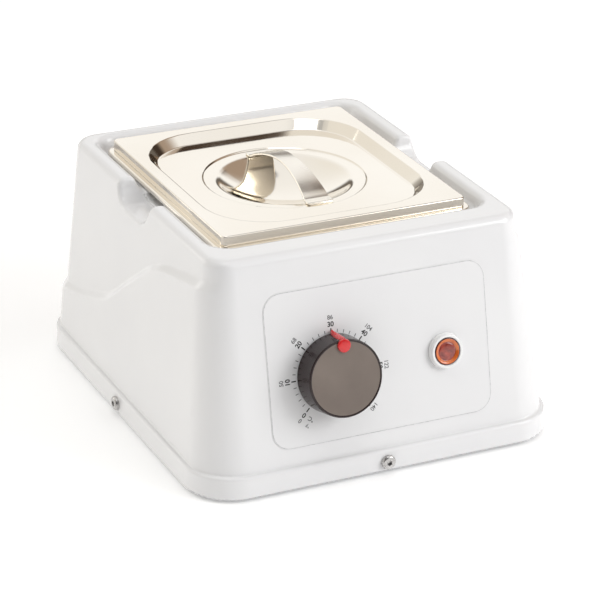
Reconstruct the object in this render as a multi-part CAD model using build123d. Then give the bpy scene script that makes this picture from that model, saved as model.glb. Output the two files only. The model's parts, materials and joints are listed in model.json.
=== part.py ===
from build123d import *
import math
import os

# Small dry-heat warmer with a lift-out 1/6 size steel pan and a recessed steel lid.
# Millimetres. It is drawn about the middle of its base, and save() then moves every piece so that the
# origin lies on the surface it stands on, under the middle of its whole depth. Front is -Y, +Z is up.

os.makedirs("parts", exist_ok=True)

# ---------------------------------------------------------------- driving dimensions
BASE_X, BASE_Y, BASE_R = 228.0, 256.0, 28.6     # skirt of the housing
FRAME_SHIFT = 2.27                              # from the middle of the base to the middle of the depth
FOOT_PROUD = 2.0                                # gap between the skirt and the ground
SKIRT_TOP = 15.5
BODY_TOP = 134.5                                # highest plane of the housing
WALL = 3.0                                      # moulded wall thickness
# half width, front y, back y, front corner radius, back corner radius
LOWER_BOTTOM = (111.4, -125.2, 125.0, 25.9, 24.0)
LOWER_TOP = (100.1, -99.0, 120.8, 17.1, 18.0)
UPPER_BOTTOM = (108.9, -124.9, 122.5, 23.1, 21.5)
UPPER_TOP = (97.0, -98.7, 117.8, 13.7, 15.0)
SHOULDER = [(-140, 122.5), (-100, 120.5), (-66, 115.5), (-42, 109.8), (-24, 103.5), (8, 82.5), (30, 66.5),
            (44, 58.6), (62, 53.0), (112, 42.0), (140, 41.0)]   # y, z of the wavy shoulder line

PAN_Y = 16.0                                    # the pan sits behind the middle of the base
RIM_X, RIM_Y, RIM_R = 81.0, 88.0, 9.0           # half size of the pan's rim: 162 x 176
RIM_TOP = 129.6
RIM_FOLD = 2.6
SHEET = 0.8
PAN_TOP = (73.0, 80.0, 22.0)                    # half sizes and corner radius of the pan's body
PAN_FOOT = (67.0, 74.0, 18.0)
PAN_DEPTH = 100.0
LAND_TOP = RIM_TOP - SHEET
DISH_FLOOR = 126.3
NOTCH_HALF, NOTCH_FLOOR, NOTCH_R = 22.5, 120.8, 12.0

LID_X, LID_Y, LID_R = 77.0, 84.0, 3.5
LID_TOP = 135.6
LID_FLOOR = 129.7
RECESS_X, RECESS_Y, RECESS_R = 68.5, 74.5, 38.0
RING_OUT, RING_IN, RING_Z = 48.4, 41.0, 128.7
BOWL_DEPTH = 13.0
HANDLE_X, HANDLE_TOP, HANDLE_T = 2.5, 140.6, 1.5
HANDLE_REACH, HANDLE_FOOT = 45.5, 6.0           # half length of the strap, and each welded end
HANDLE_HALF_MID, HANDLE_HALF_END = 5.6, 8.8     # half width, narrowest in the middle

WELL_WALL = 1.2
WELL_TOP_Z, WELL_FLOOR_Z = 126.0, 28.6
WELL_TOP = (73.8, 80.8, 22.5)
WELL_FOOT = (68.0, 75.0, 18.8)
WELL_SCREWS = [(-40, -83.0), (40, -83.0), (-40, 111.0), (40, 111.0)]
HEATER_T, WRAP_T, PAD_T = 1.5, 6.0, 7.0         # heater mats, insulation round the well and under it
BAND = (46.0, 96.0)                             # the wall heater's lower and upper edge
BULB_R, BULB_Z = 3.0, 38.0                      # the thermostat's sensing bulb

DIAL_U, DIAL_V = -29.0, 49.0                    # knob centre on the sloped front, from its bottom edge
KNOB_R_BASE, KNOB_R_FACE, KNOB_TOP = 23.1, 22.4, 16.0
SPINDLE_TOP = 12.0
POINTER_V = 19.1                                # the red cap's distance from the knob's axis
LAMP_U, LAMP_V = 41.2, 50.0
LABEL_W, LABEL_H, LABEL_V, LABEL_R = 139.0, 90.0, 55.0, 11.0
LABEL_T = 0.3
THERMOSTAT_PITCH, THERMOSTAT_DEPTH = 28.0, 24.0 # spacing of its two screws, and its body's depth

SIDE_SCREW_Z = 7.8
PLATE_Z, PLATE_T = 3.0, 1.2
FOOT_X, FOOT_Y = 86.0, 98.0
INLET_X, INLET_Z, INLET_LIFT = 48.0, 28.0, 0.5
BLOCK = (52.0, -96.0)                           # terminal block on the base plate
STUD = (-50.0, -96.0)                           # earth stud on the base plate
WIRE_R, LEAD_R = 1.2, 0.7

# ---------------------------------------------------------------- helpers


def save(name, *solids):
    """Write one node, which may hold several separate identical solids."""
    moved = [Pos(0, FRAME_SHIFT, 0) * solid for solid in solids]
    shape = moved[0] if len(moved) == 1 else Compound(children=moved)
    export_step(shape, f"parts/{name}.step")


def rounded(half_x, y_front, y_back, r_front, r_back, z):
    """Closed wire of a rectangle with its own radius at the front and at the back corners."""
    corners = [(half_x, y_front, r_front), (half_x, y_back, r_back),
               (-half_x, y_back, r_back), (-half_x, y_front, r_front)]
    directions = [(0, 1), (-1, 0), (0, -1), (1, 0)]
    edges = []
    starts = []
    ends = []
    for index, (x, y, r) in enumerate(corners):
        before = directions[index - 1]
        after = directions[index]
        start = Vector(x - before[0] * r, y - before[1] * r, z)
        end = Vector(x + after[0] * r, y + after[1] * r, z)
        centre = Vector(x - before[0] * r + after[0] * r, y - before[1] * r + after[1] * r, z)
        middle = centre + (Vector(x, y, z) - centre).normalized() * r
        edges.append(ThreePointArc(start, middle, end))
        starts.append(start)
        ends.append(end)
    loop = []
    for index, arc in enumerate(edges):
        loop.append(arc)
        loop.append(Line(ends[index], starts[(index + 1) % 4]))
    return Wire(loop)


def centred(half_x, half_y, r, z, y=PAN_Y):
    return rounded(half_x, y - half_y, y + half_y, r, r, z)


def between(sections):
    """Straight-sided solid through a list of wires."""
    return Solid.make_loft(sections, ruled=True)


def prism(wire, height):
    return Solid.extrude(Face(wire), Vector(0, 0, height))


def box(x0, x1, y0, y1, z0, z1):
    return Pos((x0 + x1) / 2, (y0 + y1) / 2, (z0 + z1) / 2) * Box(x1 - x0, y1 - y0, z1 - z0)


def rod(start, end, radius):
    start = Vector(*start)
    direction = Vector(*end) - start
    return Solid.make_cylinder(radius, direction.length, Plane(origin=start, z_dir=direction))


def at_height(bottom, top, z, inset=0.0):
    """Outline between two given ones, moved inwards."""
    t = (z - SKIRT_TOP) / (BODY_TOP - SKIRT_TOP)
    half_x, y_front, y_back, r_front, r_back = [a + (b - a) * t for a, b in zip(bottom, top)]
    return rounded(half_x - inset, y_front + inset, y_back - inset, r_front - inset, r_back - inset, z)


def below_shoulder(drop):
    """Everything under the wavy shoulder line, lowered by drop."""
    points = [(0, y, z - drop) for y, z in SHOULDER]
    first, last = points[0], points[-1]
    outline = Polyline(*points, (0, last[1], -5), (0, first[1], -5), close=True)
    return Pos(-130, 0, 0) * Solid.extrude(Face(Wire(outline.edges())), Vector(260, 0, 0))


FRONT_SLOPE = math.atan((LOWER_TOP[1] - LOWER_BOTTOM[1]) / (BODY_TOP - SKIRT_TOP))
FRONT = Plane(origin=(0, LOWER_BOTTOM[1], SKIRT_TOP), x_dir=(1, 0, 0),
              z_dir=(0, -math.cos(FRONT_SLOPE), math.sin(FRONT_SLOPE)))


def on_front(u, v):
    """Plane on the sloped front: x to the right, y up the slope, z outwards."""
    return Plane(origin=FRONT.from_local_coords(Vector(u, v, 0)), x_dir=(1, 0, 0), z_dir=FRONT.z_dir)


DIAL = on_front(DIAL_U, DIAL_V)
LAMP = on_front(LAMP_U, LAMP_V)


def disc(plane, radius, low, high, u=0.0, v=0.0):
    """Cylinder square to a plane, between two heights above it."""
    return plane * Pos(u, v, (low + high) / 2) * Cylinder(radius, high - low)


def tube_path(points, radius, bend):
    """Round wire along straight runs joined by arcs."""
    path = FilletPolyline(*points, radius=bend)
    start = path.position_at(0)
    section = Plane(origin=start, z_dir=path.tangent_at(0)) * Circle(radius)
    return sweep(section, path=path)


# ---------------------------------------------------------------- housing


def make_housing():
    upper = between([at_height(UPPER_BOTTOM, UPPER_TOP, SKIRT_TOP - 2),
                     at_height(UPPER_BOTTOM, UPPER_TOP, BODY_TOP)])
    upper = fillet(upper.edges().group_by(Axis.Z)[-1], 4.0)
    lower = between([at_height(LOWER_BOTTOM, LOWER_TOP, SKIRT_TOP - 2),
                     at_height(LOWER_BOTTOM, LOWER_TOP, BODY_TOP)])
    lower = lower & below_shoulder(0)
    skirt = prism(rounded(BASE_X / 2, -BASE_Y / 2, BASE_Y / 2, BASE_R, BASE_R, FOOT_PROUD),
                  SKIRT_TOP - FOOT_PROUD)
    skirt = fillet(skirt.edges().group_by(Axis.Z)[-1], 1.6)
    outer = upper + lower + skirt

    seat_under = DISH_FLOOR - WALL
    inner_upper = between([at_height(UPPER_BOTTOM, UPPER_TOP, 1.0, WALL),
                           at_height(UPPER_BOTTOM, UPPER_TOP, BODY_TOP - WALL, WALL)])
    inner_lower = between([at_height(LOWER_BOTTOM, LOWER_TOP, 1.0, WALL),
                           at_height(LOWER_BOTTOM, LOWER_TOP, BODY_TOP - WALL, WALL)])
    cavity = inner_upper + (inner_lower & below_shoulder(WALL + 0.5))
    base_room = prism(rounded(BASE_X / 2 - WALL, -BASE_Y / 2 + WALL, BASE_Y / 2 - WALL, BASE_R - WALL,
                              BASE_R - WALL, 1.0), SKIRT_TOP - WALL - 1.0)
    cavity = cavity + base_room
    cavity = cavity - box(-100, 100, -84, 125, seat_under, BODY_TOP)
    for side in (-1, 1):
        liner_half = NOTCH_HALF + WALL
        cavity = cavity - (Pos(side * 90, PAN_Y, (NOTCH_FLOOR - WALL + BODY_TOP) / 2)
                           * Box(29, 2 * liner_half, BODY_TOP - NOTCH_FLOOR + WALL))
    for x, y in WELL_SCREWS:
        cavity = cavity - Pos(x, y, 128) * Cylinder(5.5, 2 * (128 - seat_under))
    shell = outer - cavity

    recess = between([centred(83.5, 90.5, 12.0, DISH_FLOOR),
                      rounded(87.0, -80.0, 110.0, 14.0, 14.0, BODY_TOP)])
    recess = recess + prism(rounded(87.0, -80.0, 110.0, 14.0, 14.0, BODY_TOP), 2.0)
    land = prism(centred(79.0, 86.0, 24.0, DISH_FLOOR - 1), LAND_TOP - DISH_FLOOR + 1)
    hole = prism(centred(75.6, 82.6, 23.5, 110.0), 30.0)
    shell = shell - recess + land - hole
    for side in (-1, 1):
        notch = box(82.5, 112, PAN_Y - NOTCH_HALF, PAN_Y + NOTCH_HALF, NOTCH_FLOOR, 150)
        notch = fillet(notch.edges().filter_by(Axis.X).group_by(Axis.Z)[0], NOTCH_R)
        gap = box(75.0, 84.0, PAN_Y - NOTCH_HALF + 4, PAN_Y + NOTCH_HALF - 4, NOTCH_FLOOR + 2.5, 150)
        gap = fillet(gap.edges().filter_by(Axis.X).group_by(Axis.Z)[0], 6.0)
        cutter = notch + gap
        shell = shell - (cutter if side > 0 else mirror(cutter, about=Plane.YZ))

    # holes: thermostat bush and its two screws, lamp, inlet, side screws, well screws
    shell = shell - disc(DIAL, 6.2, -6, 3)
    for u in (-THERMOSTAT_PITCH / 2, THERMOSTAT_PITCH / 2):
        shell = shell - disc(DIAL, 2.2, -6, 3, u)
    shell = shell - disc(LAMP, 8.2, -6, 3)
    shell = shell - box(INLET_X - 13.8, INLET_X + 13.8, 118, 132, INLET_Z - 10.2, INLET_Z + 10.2)
    for dx in (-20, 20):
        shell = shell - rod((INLET_X + dx, 116, INLET_Z), (INLET_X + dx, 132, INLET_Z), 1.7)
    for start, end in side_axes():
        shell = shell - rod(start, end, 2.3)
    for x, y in WELL_SCREWS:
        shell = shell - rod((x, y, seat_under - 1), (x, y, seat_under + 6.4), 2.0)
    return shell


def side_axes():
    """Axes of the four base screws, through the middle of each side of the skirt."""
    x, y, z = BASE_X / 2, BASE_Y / 2, SIDE_SCREW_Z
    return [((0, -y - 4, z), (0, -y + 8, z)), ((0, y + 4, z), (0, y - 8, z)),
            ((-x - 4, 3, z), (-x + 8, 3, z)), ((x + 4, 3, z), (x - 8, 3, z))]


def socket_screw(origin, direction, head_r, head_h, shank_r, shank_l):
    """Button-head screw; origin is under the head, direction points along the shank."""
    plane = Plane(origin=origin, z_dir=direction)
    head = Pos(0, 0, -head_h / 2) * Cylinder(head_r, head_h)
    head = fillet(head.edges().group_by(Axis.Z)[0], head_h * 0.55)
    head = head - Pos(0, 0, -head_h) * extrude(RegularPolygon(head_r * 0.42, 6), head_h * 0.6)
    shank = Pos(0, 0, shank_l / 2) * Cylinder(shank_r, shank_l)
    return plane * (head + shank)


def make_base_screws():
    screws = []
    for start, end in side_axes():
        inward = (Vector(*end) - Vector(*start)).normalized()
        origin = Vector(*start) + inward * 4.0
        screws.append(socket_screw(origin, inward, 4.3, 2.4, 2.0, 9.0))
    return screws


def make_base_rivet_nuts():
    nuts = []
    for start, end in side_axes():
        inward = (Vector(*end) - Vector(*start)).normalized()
        inner_face = Vector(*start) + inward * (4.0 + WALL + 1.5)
        barrel = Cylinder(3.3, 7.0) - Cylinder(2.0, 7.0)
        nuts.append(Plane(origin=inner_face, z_dir=inward) * Pos(0, 0, 3.5) * barrel)
    return nuts


def make_base_plate():
    margin = 0.5
    plate = prism(rounded(BASE_X / 2 - WALL - margin, -BASE_Y / 2 + WALL + margin, BASE_Y / 2 - WALL - margin,
                          BASE_R - WALL - margin, BASE_R - WALL - margin, PLATE_Z), PLATE_T)
    x, y = BASE_X / 2 - WALL, BASE_Y / 2 - WALL
    tab_top = PLATE_Z + 8.2
    plate = plate + box(-15, 15, -y, -y + 1.5, PLATE_Z, tab_top) + box(-15, 15, y - 1.5, y, PLATE_Z, tab_top)
    plate = plate + box(-x, -x + 1.5, -12, 18, PLATE_Z, tab_top) + box(x - 1.5, x, -12, 18, PLATE_Z, tab_top)
    for start, end in side_axes():
        plate = plate - rod(start, end, 2.1)
    for fx in (-FOOT_X, FOOT_X):
        for fy in (-FOOT_Y, FOOT_Y):
            plate = plate - Pos(fx, fy, PLATE_Z) * Cylinder(2.2, 10)
    for row in range(6):
        plate = plate - Pos(0, -20 + row * 12, PLATE_Z) * extrude(SlotOverall(60, 4), 10, both=True)
    return plate


def make_feet():
    foot = Pos(0, 0, PLATE_Z / 2) * Cylinder(9.0, PLATE_Z)
    foot = fillet(foot.edges().group_by(Axis.Z)[0], 1.0)
    foot = foot - Pos(0, 0, 1.0) * Cylinder(4.4, 2.0) - Cylinder(2.2, 20)
    screw = Pos(0, 0, 1.3) * Cylinder(3.8, 1.4) - Pos(0, 0, 0.6) * extrude(RegularPolygon(1.6, 6), 0.8)
    screw = screw + Pos(0, 0, 5.0) * Cylinder(2.0, 6.0)
    nut = Pos(0, 0, PLATE_Z + PLATE_T) * extrude(RegularPolygon(4.0, 6), 3.0) - Cylinder(2.0, 30)
    groups = {"rubber_feet": foot, "foot_screws": screw, "foot_nuts": nut}
    for name, piece in groups.items():
        copies = [Pos(x, y, 0) * piece for x in (-FOOT_X, FOOT_X) for y in (-FOOT_Y, FOOT_Y)]
        save(name, *copies)


# ---------------------------------------------------------------- pan and lid


def tapered(top, foot, z_top, z_foot, grow=0.0):
    return between([centred(foot[0] + grow, foot[1] + grow, foot[2] + grow, z_foot),
                    centred(top[0] + grow, top[1] + grow, top[2] + grow, z_top)])


def make_pan():
    floor_z = RIM_TOP - PAN_DEPTH
    outside = tapered(PAN_TOP, PAN_FOOT, RIM_TOP, floor_z)
    outside = fillet(outside.edges().group_by(Axis.Z)[0], 8.0)
    inside = tapered(PAN_TOP, PAN_FOOT, RIM_TOP + 0.1, floor_z + SHEET, -SHEET)
    inside = fillet(inside.edges().group_by(Axis.Z)[0], 7.2)
    flange = prism(centred(RIM_X, RIM_Y, RIM_R, RIM_TOP - RIM_FOLD), RIM_FOLD)
    flange = flange - prism(centred(RIM_X - SHEET, RIM_Y - SHEET, RIM_R - SHEET, RIM_TOP - RIM_FOLD),
                            RIM_FOLD - SHEET)
    return flange + outside - inside


def make_lid():
    skin = prism(centred(LID_X, LID_Y, LID_R, RIM_TOP), LID_TOP - RIM_TOP)
    skin = fillet(skin.edges().group_by(Axis.Z)[-1], 0.7)
    skin = skin - prism(centred(LID_X - SHEET, LID_Y - SHEET, LID_R - SHEET, RIM_TOP),
                        LID_TOP - RIM_TOP - SHEET)
    run = 6.0
    deep = LID_FLOOR - SHEET
    bowl_outside = between([centred(RECESS_X - run + 0.4, RECESS_Y - run + 0.4, RECESS_R - run + 0.4, deep),
                            centred(RECESS_X + 1.0, RECESS_Y + 1.0, RECESS_R + 1.0, LID_TOP - 0.2)])
    bowl_inside = between([centred(RECESS_X - run, RECESS_Y - run, RECESS_R - run, LID_FLOOR),
                           centred(RECESS_X + 0.2, RECESS_Y + 0.2, RECESS_R + 0.2, LID_TOP + 0.2)])
    lid = skin + bowl_outside - bowl_inside
    low = RING_Z - BOWL_DEPTH
    under = dish(low - SHEET, RING_Z - SHEET, RING_IN + 0.6, RING_OUT + SHEET, LID_FLOOR)
    lid = lid + Pos(0, PAN_Y, 0) * under
    return lid - Pos(0, PAN_Y, 0) * dish(low, RING_Z, RING_IN, RING_OUT, LID_FLOOR + 1)


def dish(low, ring, r_in, r_out, top):
    """Solid of revolution: a spherical bowl under a flat ring."""
    depth = ring - low
    sphere = (r_in * r_in + depth * depth) / (2 * depth)
    half = math.asin(r_in / sphere) / 2
    middle = (sphere * math.sin(half), low + sphere * (1 - math.cos(half)))
    arc = ThreePointArc((0, 0, low), (middle[0], 0, middle[1]), (r_in, 0, ring))
    rest = Polyline((r_in, 0, ring), (r_out, 0, ring), (r_out, 0, top), (0, 0, top), (0, 0, low))
    return revolve(Face(Wire([arc] + rest.edges())), Axis.Z)


def make_lid_handle():
    reach, foot = HANDLE_REACH, HANDLE_FOOT
    z0 = RING_Z
    rise = HANDLE_TOP - HANDLE_T - z0
    run = reach - foot
    arch = ThreePointArc((0, -run, z0), (0, 0, z0 + rise), (0, run, z0))
    arch_top = ThreePointArc((0, run, z0 + HANDLE_T), (0, 0, z0 + rise + HANDLE_T), (0, -run, z0 + HANDLE_T))
    left = Polyline((0, -run, z0 + HANDLE_T), (0, -reach, z0 + HANDLE_T), (0, -reach, z0), (0, -run, z0))
    right = Polyline((0, run, z0), (0, reach, z0), (0, reach, z0 + HANDLE_T), (0, run, z0 + HANDLE_T))
    strip = Face(Wire([arch] + right.edges() + [arch_top] + left.edges()))
    strap = Pos(-10, 0, 0) * Solid.extrude(strip, Vector(20, 0, 0))
    end, mid = HANDLE_HALF_END, HANDLE_HALF_MID
    side_a = ThreePointArc((end, -reach - 1, 0), (mid, 0, 0), (end, reach + 1, 0))
    side_b = ThreePointArc((-end, reach + 1, 0), (-mid, 0, 0), (-end, -reach - 1, 0))
    ends = [Line(side_a @ 1, side_b @ 0), Line(side_b @ 1, side_a @ 0)]
    plan = Face(Wire([side_a, ends[0], side_b, ends[1]]))
    waist = Pos(0, 0, z0 - 2) * Solid.extrude(plan, Vector(0, 0, 30))
    return Pos(HANDLE_X, PAN_Y, 0) * (strap & waist)


# ---------------------------------------------------------------- knob, thermostat, lamp


def make_knob():
    body = DIAL * Pos(0, 0, (KNOB_TOP + 0.8) / 2) * Cone(KNOB_R_BASE, KNOB_R_FACE, KNOB_TOP - 0.8)
    body = fillet(body.faces().sort_by(Axis.Y)[0].edges(), 0.7)
    hollow = disc(DIAL, 20.6, -1, KNOB_TOP - 2.6)
    hub = disc(DIAL, 6.0, 3.4, KNOB_TOP - 2.0)
    bore = disc(DIAL, 3.05, -1, SPINDLE_TOP + 0.2)
    flat = DIAL * Pos(0, 4.1, 8.2) * Box(8, 4.0, 10.4)
    return body - hollow + (hub - (bore - flat))


def make_spindle():
    shaft = disc(DIAL, 3.0, -9.0, SPINDLE_TOP)
    flat = DIAL * Pos(0, 4.0, 8.0) * Box(8, 4.0, 10.0)
    return shaft - flat


def make_pointer():
    cap = disc(DIAL, 3.9, KNOB_TOP - 2, KNOB_TOP + 1.4, 0, POINTER_V)
    cap = fillet(cap.faces().sort_by(Axis.Y)[0].edges(), 0.5)
    outline = Polyline((0, 18.0, KNOB_TOP + 0.6), (0, 22.9, KNOB_TOP + 0.6), (0, 24.4, 1.4), (0, 21.0, 1.4),
                       close=True)
    arm = Pos(-1.7, 0, 0) * Solid.extrude(Face(Wire(outline.edges())), Vector(3.4, 0, 0))
    cone = DIAL * Pos(0, 0, (KNOB_TOP + 0.8) / 2) * Cone(KNOB_R_BASE, KNOB_R_FACE, KNOB_TOP - 0.8)
    return (cap + DIAL * arm) - cone


def make_thermostat():
    bush = disc(DIAL, 6.0, -WALL, 0.6)
    body = DIAL * Pos(0, 0, -WALL - THERMOSTAT_DEPTH / 2) * fillet(
        Box(44, 36, THERMOSTAT_DEPTH).edges().filter_by(Axis.Z), 3.0)
    whole = body + bush - disc(DIAL, 3.04, -9.05, 3)
    for u in (-THERMOSTAT_PITCH / 2, THERMOSTAT_PITCH / 2):
        whole = whole - disc(DIAL, 2.0, -12.5, 0, u)
    return whole


def make_thermostat_terminals():
    blades = []
    for u in (-12, 12):
        for v in (-9, 9):
            blades.append(DIAL * Pos(u, v, -WALL - THERMOSTAT_DEPTH - 4) * Box(6.3, 0.8, 8))
    return blades


def make_thermostat_screws():
    screws = []
    for u in (-THERMOSTAT_PITCH / 2, THERMOSTAT_PITCH / 2):
        head = disc(DIAL, 3.6, LABEL_T, 2.3, u) - DIAL * Pos(u, 0, 2.1) * Box(5, 0.8, 1.2)
        screws.append(head + disc(DIAL, 2.0, -12.0, LABEL_T, u))
    return screws


def make_label():
    plane = on_front(0, LABEL_V)
    outline = RectangleRounded(LABEL_W, LABEL_H, LABEL_R)
    sheet = plane * Pos(0, 0, LABEL_T / 2) * extrude(outline, LABEL_T / 2, both=True)
    sheet = sheet - disc(DIAL, 6.4, -1, 2) - disc(LAMP, 8.3, -1, 2)
    for u in (-THERMOSTAT_PITCH / 2, THERMOSTAT_PITCH / 2):
        sheet = sheet - disc(DIAL, 2.2, -1, 2, u)
    return sheet


def make_lamp():
    bezel = disc(LAMP, 10.6, LABEL_T, 1.5)
    bezel = bezel + LAMP * Pos(0, 0, 2.75) * Cone(10.0, 9.2, 2.5)
    bezel = bezel + disc(LAMP, 8.0, -12, LABEL_T) - disc(LAMP, 7.9, 1.5, 5) - disc(LAMP, 6.8, -13, 5)
    save("lamp_bezel", bezel)
    lens = disc(LAMP, 7.8, 1.5, 3.4) + disc(LAMP, 6.7, -4.0, 1.5)
    lens = lens + LAMP * Pos(0, 0, 3.8) * Cone(7.8, 6.6, 0.8) - disc(LAMP, 5.4, -5, 2.0)
    save("lamp_lens", lens)
    nut = LAMP * Pos(0, 0, -WALL - 3) * extrude(RegularPolygon(11.0, 6), 3.0) - disc(LAMP, 8.0, -20, 3)
    save("lamp_nut", nut)
    holder = disc(LAMP, 6.75, -16, -12) + disc(LAMP, 8.0, -18, -12)
    for u in (-4, 4):
        holder = holder + LAMP * Pos(u, 0, -22) * Box(0.8, 4.8, 8)
    save("lamp_holder", holder)
    glow = disc(LAMP, 2.6, -12.0, -0.5)
    glow = fillet(glow.faces().sort_by(Axis.Y)[0].edges(), 2.0)
    save("lamp_neon", glow)


# ---------------------------------------------------------------- heating well


def make_well():
    outside = tapered(WELL_TOP, WELL_FOOT, WELL_TOP_Z, WELL_FLOOR_Z - WELL_WALL, WELL_WALL)
    outside = fillet(outside.edges().group_by(Axis.Z)[0], 8.0)
    inside = tapered(WELL_TOP, WELL_FOOT, WELL_TOP_Z, WELL_FLOOR_Z)
    inside = fillet(inside.edges().group_by(Axis.Z)[0], 6.8)
    return outside - inside


def well_skin(grow, z0, z1):
    """Ring that hugs the well's outside, grown by the given thickness."""
    t0 = (z0 - WELL_FLOOR_Z + WELL_WALL) / (WELL_TOP_Z - WELL_FLOOR_Z + WELL_WALL)
    t1 = (z1 - WELL_FLOOR_Z + WELL_WALL) / (WELL_TOP_Z - WELL_FLOOR_Z + WELL_WALL)
    sections = []
    for z, t in ((z0, t0), (z1, t1)):
        half_x, half_y, r = [a + (b - a) * t + WELL_WALL + grow for a, b in zip(WELL_FOOT, WELL_TOP)]
        sections.append(centred(half_x, half_y, r, z))
    return between(sections)


def make_heaters():
    save("wall_heater", well_skin(HEATER_T, *BAND) - well_skin(0, *BAND))
    save("insulation_wrap", well_skin(HEATER_T + WRAP_T, *BAND) - well_skin(HEATER_T, *BAND))
    under = WELL_FLOOR_Z - WELL_WALL
    save("bottom_heater", box(-48, 48, PAN_Y - 54, PAN_Y + 54, under - HEATER_T, under))
    save("insulation_pad", box(-52, 52, PAN_Y - 58, PAN_Y + 58, under - HEATER_T - PAD_T,
                                under - HEATER_T))


def make_well_brackets():
    seat_under = DISH_FLOOR - WALL
    brackets = []
    front_y = PAN_Y - WELL_TOP[1] - WELL_WALL
    back_y = PAN_Y + WELL_TOP[1] + WELL_WALL
    hugging = well_skin(0, 100.0, 124.0)
    front = box(-52, 52, -90, front_y + 2.5, seat_under - 1.5, seat_under)
    front = front + box(-52, 52, front_y - 1.5, front_y + 2.5, 106, seat_under)
    back = box(-52, 52, back_y - 2.5, 114.6, seat_under - 1.5, seat_under)
    back = back + box(-52, 52, back_y - 2.5, back_y + 1.5, 106, seat_under)
    for raw in (front, back):
        piece = raw - hugging
        for x, y in WELL_SCREWS:
            piece = piece - Pos(x, y, seat_under) * Cylinder(2.2, 10)
        brackets.append(piece)
    return brackets


def make_well_screws():
    seat_under = DISH_FLOOR - WALL
    return [socket_screw((x, y, seat_under - 1.5), (0, 0, 1), 3.8, 2.2, 2.0, 7.4) for x, y in WELL_SCREWS]


# ---------------------------------------------------------------- sensing, terminals, inlet and wiring


def well_face_y(z, grow=0.0):
    """Front face of the well's outside at a height."""
    t = (z - WELL_FLOOR_Z + WELL_WALL) / (WELL_TOP_Z - WELL_FLOOR_Z + WELL_WALL)
    return PAN_Y - (WELL_FOOT[1] + (WELL_TOP[1] - WELL_FOOT[1]) * t + WELL_WALL + grow)


def make_sensing():
    y = well_face_y(BULB_Z) - BULB_R - 0.1
    bulb = rod((-40, y, BULB_Z), (24, y, BULB_Z), BULB_R)
    save("sensor_bulb", bulb)
    hugging = well_skin(0, 28.0, 60.0)
    clips = []
    for x in (-26, 10):
        clip = box(x - 4, x + 4, y - 4.2, y + 4.4, BULB_Z - 8, BULB_Z + 4.2) - hugging
        clip = clip - rod((x - 6, y, BULB_Z), (x + 6, y, BULB_Z), BULB_R)
        clips.append(clip)
    save("bulb_clips", *clips)
    fuse_y = well_face_y(BULB_Z) - 2.6
    save("thermal_fuse", rod((34, fuse_y, BULB_Z), (48, fuse_y, BULB_Z), 2.4))
    hold = box(38, 44, fuse_y - 3.4, fuse_y + 4.0, BULB_Z - 7, BULB_Z + 3.4) - hugging
    save("fuse_clip", hold - rod((30, fuse_y, BULB_Z), (52, fuse_y, BULB_Z), 2.4))
    tail = DIAL.from_local_coords(Vector(-22, 0, -WALL - 20))
    route = [tail, tail + Vector(-14, 0, 0), tail + Vector(-22, 4, -16), Vector(-62, y, BULB_Z + 4),
             Vector(-52, y, BULB_Z), Vector(-40, y, BULB_Z)]
    save("capillary_tube", tube_path(route, 0.8, 4.5))


def make_terminals():
    x, y = BLOCK
    floor = PLATE_Z + PLATE_T
    body = box(x - 17, x + 17, y - 8, y + 8, floor, floor + 12)
    for dx in (-10, 0, 10):
        body = body - Pos(x + dx, y, floor + 10) * Cylinder(2.6, 4.0)
        body = body - Pos(x + dx, y, floor + 5) * Rot(90, 0, 0) * Cylinder(1.6, 20)
    save("terminal_block", body)
    screws = []
    for dx in (-10, 0, 10):
        head = Pos(x + dx, y, floor + 9.2) * Cylinder(2.2, 2.4)
        screws.append(head - Pos(x + dx, y, floor + 10.4) * Box(5, 0.7, 1.6))
    save("terminal_screws", *screws)
    x, y = STUD
    stud = Pos(x, y, floor + 6) * Cylinder(2.0, 12)
    ring = Pos(x, y, floor + 0.5) * Cylinder(4.5, 1.0) + box(x - 2, x + 2, y, y + 14, floor, floor + 1.0)
    nut = Pos(x, y, floor + 1.0) * extrude(RegularPolygon(4.0, 6), 3.0)
    save("earth_stud", stud)
    save("earth_ring_terminal", ring - Pos(x, y, floor) * Cylinder(2.0, 10))
    save("earth_nut", nut - Pos(x, y, floor) * Cylinder(2.0, 30))


def inlet_wall_y():
    """Outer face of the back wall at the inlet's height."""
    t = (INLET_Z - SKIRT_TOP) / (BODY_TOP - SKIRT_TOP)
    return LOWER_BOTTOM[2] + (LOWER_TOP[2] - LOWER_BOTTOM[2]) * t


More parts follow.
